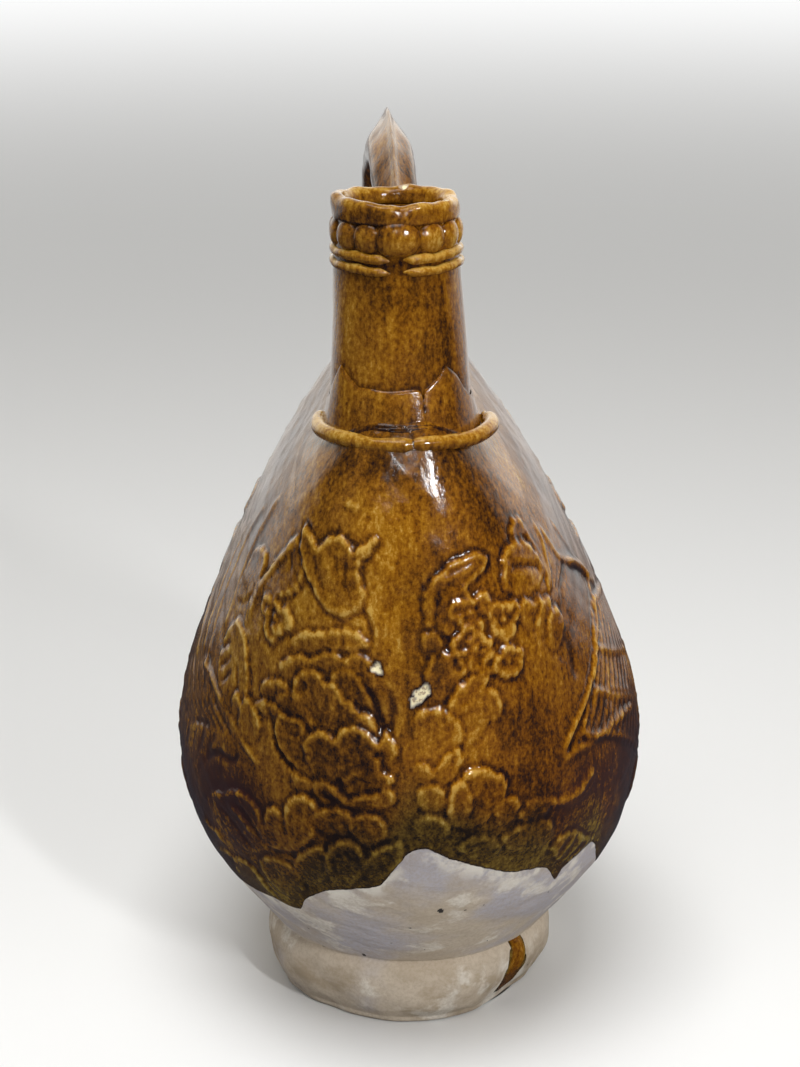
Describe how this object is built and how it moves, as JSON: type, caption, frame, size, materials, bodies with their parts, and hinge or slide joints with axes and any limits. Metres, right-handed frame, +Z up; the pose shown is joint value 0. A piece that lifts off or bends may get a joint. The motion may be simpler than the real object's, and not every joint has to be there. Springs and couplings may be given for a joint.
{
  "type": "leather-bag flask",
  "caption": "Amber-glazed ceramic flask in the shape of a leather bag, with moulded phoenix and peony relief, a short beaded spout at one end, a loop handle and a bare clay foot ring.",
  "frame": {"origin": "middle of the foot ring's sole, on the surface the flask stands on", "axes": "+Z up, the spout at the -Y end, the handle behind it along +Y, +X to the right of someone facing the spout"},
  "size_m": [0.148, 0.1845, 0.2845],
  "materials": {
    "amber_glaze": "glossy amber-brown lead glaze",
    "gold_glaze": "glossy amber glaze, thin and golden on raised edges",
    "bare_clay": "matt unglazed pale clay"
  },
  "bodies": {
    "root": {"foot_ring": "bare_clay", "base_disc": "bare_clay", "body_half_left": "amber_glaze", "body_half_right": "amber_glaze", "spout_half_left": "amber_glaze", "spout_half_right": "amber_glaze", "lip_coil": "gold_glaze", "bead_front": "gold_glaze", "bead_1": "gold_glaze", "bead_2": "gold_glaze", "bead_3": "gold_glaze", "bead_4": "gold_glaze", "bead_5": "gold_glaze", "bead_6": "gold_glaze", "bead_7": "gold_glaze", "bead_8": "gold_glaze", "bead_9": "gold_glaze", "bead_10": "gold_glaze", "bead_11": "gold_glaze", "bead_12": "gold_glaze", "bead_13": "gold_glaze", "neck_cord_upper": "gold_glaze", "neck_cord_lower": "gold_glaze", "sleeve_left": "amber_glaze", "sleeve_right": "amber_glaze", "collar_cord_left": "gold_glaze", "collar_cord_right": "gold_glaze", "loop_handle": "amber_glaze"}
  },
  "joints": []
}
